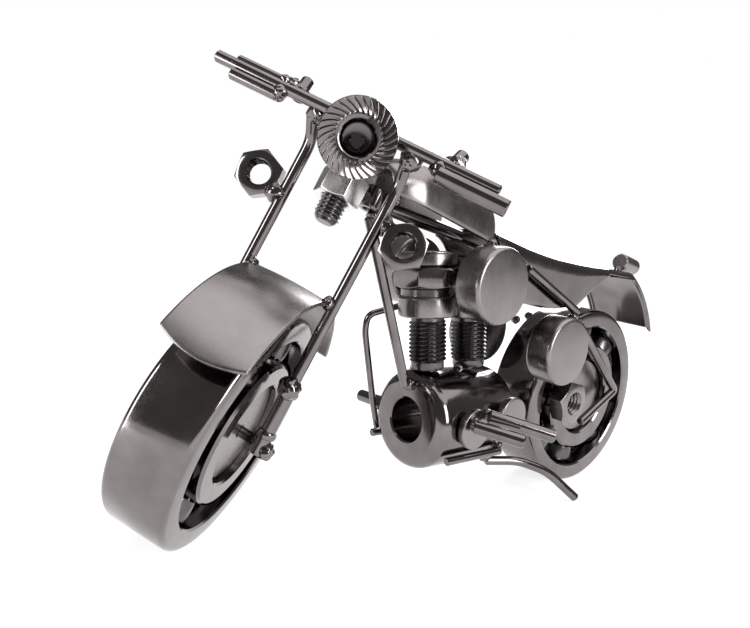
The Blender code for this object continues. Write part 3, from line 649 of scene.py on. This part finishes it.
LAMP_AXIS = FORK.to_3x3().inverted() @ Vector((math.cos(math.radians(54)), math.sin(math.radians(54)), -0.08))
LAMP_AT = Vector((BAR_FORWARD + 5.5, 2.6, BAR_UP - 5.1))
SIGNAL_UP, SLEEVE_LOW, SLEEVE_TOP = 42.1, -2.0, 11.0

r = STEM_D / 2
ends = [(r - 0.9, -STEM_BELOW), (r - 0.4, 0.5 - STEM_BELOW)], [(r - 0.4, STEM_ABOVE)]
shaft = threaded("stem", r - 0.42, r, 0.6 - STEM_BELOW, STEM_ABOVE - 0.1, 0.8, STEM, *ends)
settle(shaft, "steering_bolt", edge=0)
bolt_top = FORK.inverted() @ STEM @ Vector((0, 0, STEM_ABOVE + 1.4 + GAP))
yoke_path = [bolt_top, (BAR_FORWARD - ROD_D / 2 - GAP, bolt_top.y, BAR_UP)]
settle(rod("yoke", yoke_path, 2.8, FORK), "steering_yoke", edge=0)
bar_low = Vector((BAR_FORWARD, -BAR_LENGTH / 2 - 1.8, BAR_UP))
settle(rod("bar", [bar_low, bar_low + Vector((0, BAR_LENGTH, 0))], ROD_D, FORK), "handlebar", edge=0)


def ring_bead(radius, base, steps):
    """A weld run round a sleeve, from (degrees, height) steps round its section."""
    height = 0.5
    return [(radius + height * math.sin(math.radians(a)), base + z) for a, z in steps]


def fork_leg(side, label):
    y = side * leg_side[label]
    path = [(leg_forward(SLEEVE_TOP + GAP), y, SLEEVE_TOP + GAP), (leg_forward(LEG_BEND), y, LEG_BEND),
            (BAR_FORWARD - ROD_D - GAP, side * leg_side["left"], BAR_UP - ROD_D / 2)]
    settle(rod("leg", path, ROD_D, FORK, bend=2.4), f"fork_leg_{label}", edge=0)


def leg_sleeve(side, label):
    """The thicker foot of a leg, with two ring welds and a hole for the axle."""
    y, r = side * leg_side[label], SLEEVE_D / 2
    length = (SLEEVE_TOP - SLEEVE_LOW) * math.hypot(1, LEG_SLOPE)
    low = ring_bead(r, 0, ((0, 3.3), (45, 3.5), (90, 3.9), (90, 4.3), (45, 4.7), (0, 4.9)))
    high = ring_bead(r, length, ((0, -1.7), (50, -1.4), (90, -1.0), (90, -0.6), (40, -0.2)))
    profile = [(r - 0.3, 0), (r, 0.3)] + low + high + [(r - 0.3, length)]
    sleeve_at = axis_frame((LEG_SLOPE, 0, 1), (leg_forward(SLEEVE_LOW), y, SLEEVE_LOW))
    sleeve = turned("sleeve", profile, FORK @ sleeve_at, 48)
    cut(sleeve, drum("hole", AXLE_D + 2 * RUN, 8, FORK @ axis_frame((0, 1, 0), (0, y - 4, 0)), 40))
    settle(sleeve, f"leg_sleeve_{label}", edge=0)


def signal_nut(side, label):
    """A turn signal: a nut that faces forward and out beside its leg."""
    thick, sink = 3.9, 1.95
    outward = side * leg_side[label] + side * (ROD_D / 2 + SMALL_AF / math.sqrt(3) + 0.2)
    face = FORK.to_3x3().inverted() @ Vector((0.66, 0.72, 0.12))
    at = axis_frame(face, (leg_forward(SIGNAL_UP) - 0.4, outward, SIGNAL_UP)) @ spin(8) @ lift(-sink)
    settle(hexagon("nut", SMALL_AF, thick, SMALL_BORE, FORK @ at, 0.8), f"signal_nut_{label}", edge=0)


for side, label in ((1, "left"), (-1, "right")):
    fork_leg(side, label)
    leg_sleeve(side, label)
    signal_nut(side, label)
right_end, left_end = (leg_side[side] + SLEEVE_D / 2 + 0.6 for side in ("right", "left"))
settle(rod("axle", [(0, -right_end, 0), (0, left_end, 0)], AXLE_D, FORK), "front_axle", edge=0)

lamp = FORK @ axis_frame(LAMP_AXIS, LAMP_AT)
flange_r = LAMP_FLANGE_D / 2


def lamp_nut():
    """A flange nut: hexagon behind, a face of slanted teeth in front, and a tapped bore."""
    per_tooth, rise, fall = 12, 0.8, 0.2
    sides = TEETH * per_tooth
    rows = []

    def row(radius, height, six_sided=False, tooth=0.0, slant=0.0):
        out = []
        for k in range(sides):
            a = TURN * k / sides
            reach = hex_reach(radius, a) if six_sided else radius
            phase = (k / per_tooth + slant) % 1
            saw = min(phase / rise, (1 - phase) / fall)
            out.append((reach * math.cos(a), reach * math.sin(a), height - tooth * saw))
        rows.append(out)

    back, flange_back, front, mouth = -4.9, -2.0, 0.3, LAMP_BORE + 0.35
    row(mouth, back)
    row(LAMP_AF * 0.46, back)
    row(LAMP_AF / 2, back + 0.4, True)
    row(LAMP_AF / 2, flange_back, True)
    row(flange_r - 0.7, flange_back)
    row(flange_r - 0.1, -1.5)
    row(flange_r, -1.2)
    row(flange_r, -0.75, tooth=0.25)
    teeth_rows, teeth_inner, teeth_slant = 18, 4.15, 1.5
    for j in range(teeth_rows + 1):
        t = j / teeth_rows
        radius = flange_r - 0.15 + (teeth_inner - flange_r) * t
        row(radius, -0.25 + 0.4 * t, tooth=0.42, slant=teeth_slant * t)
    row(3.85, 0.15)
    row(3.75, front)
    row(mouth, front)
    tap_rows, tap_top, tap_length, tap_pitch, tap_depth = 48, 0.05, 4.7, 0.95, 0.3
    for j in range(tap_rows + 1):
        z = tap_top - tap_length * j / tap_rows
        depths = [tap_depth * zigzag(z / tap_pitch - k / sides) for k in range(sides)]
        rows.append(loop([LAMP_BORE + depth for depth in depths], z))
    return place("lamp", loops_mesh("lamp", rows, True), lamp)


settle(lamp_nut(), "headlight", edge=0, sharp=55)
core_rim = [(LAMP_BORE + 0.1, -4.6), (LAMP_BORE + 0.1, -3.4), (2.6, -3.1), (2.3, -3.3)]
settle(turned("lamp_core", core_rim, lamp, 64), None, "fork", "dark_steel", 0)
settle(rod("lamp_stub", [(0.5, -0.9, -3.6), (0.2, -0.5, -1.3)], 2.7, lamp), None, "fork", "black_nickel", 0)


def fender_surface(u, v):
    """Sheet wrapped over the wheel, slightly crowned, its front edge bowed."""
    bow = math.radians(-4.0) * (1 - v * v) * (1 - u) ** 3
    a = FENDER_FROM + bow + (FENDER_TO - FENDER_FROM - bow) * u
    r = wheel_r + FENDER_GAP + 0.35 * (1 - v * v)
    middle = (leg_side["left"] - leg_side["right"]) / 2
    return Vector((r * math.cos(a), middle + FENDER_HALF * v, r * math.sin(a)))


settle(bent_sheet("mudguard", fender_surface, 90, 32, FORK), "front_fender", edge=0.12, sharp=50)

under = BAR_UP - ROD_D / 2 - GAP
wall = [(1.1, 0.15), (1.25, 0), (1.4, 0), (1.55, 0.15), (1.55, 12.85), (1.4, 13), (1.25, 13), (1.1, 12.85)]
tube_at = FORK @ axis_frame((0, 1, 0), (BAR_FORWARD + 0.3, 15.9, under - 0.95))
settle(turned("lever_tube", wall, tube_at, 48, True), "lever_tube_left", edge=0)
start = Vector((BAR_FORWARD + 0.3, -25.6, under - 0.6))
settle(rod("lever_rod", [start, start + Vector((0, 9.8, 0))], 2.2, FORK), "lever_rod_right", edge=0)
start = Vector((BAR_FORWARD - 0.2, -26.4, BAR_UP + ROD_D / 2 + 0.3))
settle(rod("bar_wire", [start, start + Vector((0, 10.5, 0))], 1.5, FORK), "bar_wire_right", edge=0)
stud = [(1.7, 0), (1.9, 0.2), (1.9, 0.9), (1.7, 1.1), (1.25, 1.1), (1.25, 4.15), (1.0, 4.4)]
for side, label, w in ((1, "left", 16.8), (-1, "right", -14.0)):
    lean = FORK @ axis_frame((-0.35, 0.15 * side, 1), (BAR_FORWARD - ROD_D / 2 - 1.5, w, BAR_UP + 1.2))
    settle(turned("stud", stud, lean, 48), f"bar_stud_{label}", edge=0)


# ---- welds -----------------------------------------------------------------------------------------
def tree_of(node):
    mesh = frame["nodes"][node].data
    return BVHTree.FromPolygons([v.co for v in mesh.vertices], [p.vertices for p in mesh.polygons])


TREES = {node: tree_of(node) for node in frame["nodes"]}


def nearest_place(one, other):
    """The middle of the narrowest gap between two CAD nodes, in millimetres."""
    best = None
    for a, b in ((one, other), (other, one)):
        for vert in frame["nodes"][a].data.vertices:
            point, _, _, distance = TREES[b].find_nearest(vert.co)
            if best is None or distance < best[0]:
                best = (distance, (vert.co + point) / 2)
    return best[1] / MM


def weld(number, one, other, size, at=None):
    """A lumpy bead over the gap between two welded pieces."""
    centre = Vector(at) if at is not None else nearest_place(one, other)
    work = bmesh.new()
    bmesh.ops.create_icosphere(work, subdivisions=4, radius=1.0)
    shake = Vector((number * 3.7, number * 1.3, 0.5))
    for vert in work.verts:
        lump = 1 + 0.22 * noise.noise(vert.co * 1.6 + shake) + 0.07 * noise.noise(vert.co * 5 + shake)
        vert.co *= size * lump
    bead = place(f"weld_{number}", mesh_of(work, "weld"), Matrix.Translation(centre))
    settle(bead, None, BODY_OF[one], "black_nickel", 0, 180)


WELDS = (
    ("fork_leg_left", "handlebar", 2.0), ("fork_leg_right", "handlebar", 2.0),
    ("steering_yoke", "handlebar", 1.8), ("steering_yoke", "steering_bolt", 2.1),
    ("signal_nut_left", "fork_leg_left", 1.9), ("signal_nut_right", "fork_leg_right", 1.9),
    ("headlight", "handlebar", 1.5),
    ("front_fender", "fork_leg_left", 1.3), ("front_fender", "fork_leg_right", 1.3),
    ("leg_sleeve_left", "fork_leg_left", 2.1), ("leg_sleeve_right", "fork_leg_right", 2.1),
    ("leg_sleeve_left", "front_axle", 1.6), ("leg_sleeve_right", "front_axle", 1.6),
    ("lever_tube_left", "handlebar", 1.5), ("lever_rod_right", "handlebar", 1.5),
    ("bar_wire_right", "handlebar", 1.3),
    ("bar_stud_left", "handlebar", 1.7), ("bar_stud_right", "handlebar", 1.7),
    ("neck_boss", "steering_nut", 1.3), ("neck_boss", "down_tube", 1.3), ("neck_boss", "backbone", 1.5),
    ("backbone", "tank", 1.2), ("tank", "upper_slug_left", 1.1), ("down_tube", "engine_tube", 1.4),
    ("engine_tube", "front_cylinder_bolt", 1.3), ("engine_tube", "rear_cylinder_bolt", 1.3),
    ("seat_strut_left", "seat_and_rear_fender", 1.1), ("seat_strut_right", "seat_and_rear_fender", 1.1),
    ("seat_strut_left", "lower_slug_left", 1.6), ("seat_strut_right", "lower_slug_right", 1.6),
    ("lower_rail_left", "engine_tube", 1.0), ("lower_rail_right", "engine_tube", 1.0),
    ("rear_stay_left", "lower_slug_left", 1.2), ("rear_stay_right", "lower_slug_right", 1.2),
    ("front_pipe", "front_side_disc", 1.5), ("rear_pipe", "front_side_disc", 1.3),
    ("peg_right", "engine_tube", 1.5), ("kickstand", "engine_tube", 1.5), ("foot_lever", "peg_right", 1.0),
    ("tail_light", "seat_and_rear_fender", 1.1), ("upper_slug_left", "front_cylinder_hex", 1.2),
    ("rear_side_disc", "engine_tube", 0.9),
    ("hub_nut_left", "rear_inner_ring", 0.9), ("hub_nut_right", "rear_inner_ring", 0.9),
)
for number, (one, other, size) in enumerate(WELDS):
    weld(number, one, other, size)

# ---- floor, light and camera -----------------------------------------------------------------------
WHITE, WARM_WHITE, FLOOR_GREY = (1, 1, 1, 1), (1.0, 0.98, 0.97, 1), (0.42, 0.42, 0.42, 1)
FLOOR_HALF, FLOOR_Z, FLOOR_GLOW = 3.0, -0.00002, 0.78
SKY_IN_REFLECTIONS, SKY_TO_CAMERA = 0.16, 1.0
SUN_POWER, SUN_SPREAD, SUN_WAY = 1.9, math.radians(75), Vector((0.25, -0.15, -1.0))


def aimed(way):
    return way.to_track_quat("-Z", "Y").to_euler()


def paper_floor():
    """A sheet just under the wheels, which glows a little so that it stays as white as the sky behind it."""
    work = bmesh.new()
    bmesh.ops.create_grid(work, x_segments=1, y_segments=1, size=FLOOR_HALF)
    floor = place("floor", mesh_of(work, "floor"), lift(FLOOR_Z))
    paper = bpy.data.materials.new("paper")
    paper.use_nodes = True
    coat = paper.node_tree.nodes["Principled BSDF"].inputs
    coat["Base Color"].default_value = FLOOR_GREY
    coat["Roughness"].default_value = 0.9
    coat["Emission Color"].default_value = WHITE
    coat["Emission Strength"].default_value = FLOOR_GLOW
    floor.data.materials.append(paper)


def studio_world():
    """A sky that the camera sees as white and the metal sees as dim."""
    world = bpy.data.worlds.new("studio")
    scene.world = world
    world.use_nodes = True
    nodes, links = world.node_tree.nodes, world.node_tree.links
    dim, white = nodes["Background"], nodes.new("ShaderNodeBackground")
    dim.inputs["Color"].default_value, dim.inputs["Strength"].default_value = WARM_WHITE, SKY_IN_REFLECTIONS
    white.inputs["Color"].default_value, white.inputs["Strength"].default_value = WHITE, SKY_TO_CAMERA
    seen, which = nodes.new("ShaderNodeLightPath"), nodes.new("ShaderNodeMixShader")
    links.new(seen.outputs["Is Camera Ray"], which.inputs["Fac"])
    links.new(dim.outputs["Background"], which.inputs[1])
    links.new(white.outputs["Background"], which.inputs[2])
    links.new(which.outputs["Shader"], nodes["World Output"].inputs["Surface"])


def sun():
    obj = bpy.data.objects.new("dome", bpy.data.lights.new("dome", "SUN"))
    obj.data.energy, obj.data.angle = SUN_POWER, SUN_SPREAD
    obj.rotation_euler = aimed(SUN_WAY)
    scene.collection.objects.link(obj)


def softbox(name, place_mm, size_mm, power, aim_mm=(45, 0, 35)):
    """A rectangular lamp that faces the middle of the figure."""
    obj = bpy.data.objects.new(name, bpy.data.lights.new(name, "AREA"))
    obj.data.shape, obj.data.energy = "RECTANGLE", power
    obj.data.size, obj.data.size_y = size_mm[0] * MM, size_mm[1] * MM
    scene.collection.objects.link(obj)
    obj.location = Vector(place_mm) * MM
    obj.rotation_euler = aimed(Vector(aim_mm) - Vector(place_mm))


paper_floor()
studio_world()
sun()
softbox("key", (30, 330, 160), (120, 220), 0.9)
softbox("fill", (380, -40, 120), (90, 260), 0.7)
softbox("back", (-260, -200, 200), (160, 200), 0.8)

AZIMUTH, ELEVATION, ROLL = math.radians(49.58), math.radians(8.2), math.radians(6.84)
TARGET, DISTANCE = Vector((75.18, 0, 43.76)), 129.13
SENSOR, LENS, SHIFT, CLIP = 36, 31.22064, (0.01444, 0.0060667), (0.005, 10)


def camera_frame():
    """Looks at the target from its azimuth and elevation, tilted by its roll."""
    level = math.cos(ELEVATION)
    back = Vector((level * math.cos(AZIMUTH), level * math.sin(AZIMUTH), math.sin(ELEVATION)))
    right = (-back).cross(Vector((0, 0, 1))).normalized()
    top = right.cross(-back)
    across = right * math.cos(ROLL) + top * math.sin(ROLL)
    upward = top * math.cos(ROLL) - right * math.sin(ROLL)
    out = Matrix((across, upward, back)).transposed().to_4x4()
    out.translation = (TARGET + back * DISTANCE) * MM
    return out


camera = place("camera", bpy.data.cameras.new("camera"), camera_frame())
camera.data.sensor_width, camera.data.lens = SENSOR, LENS
camera.data.shift_x, camera.data.shift_y = SHIFT
camera.data.clip_start, camera.data.clip_end = CLIP
scene.camera = camera
scene.view_settings.view_transform = "Standard"
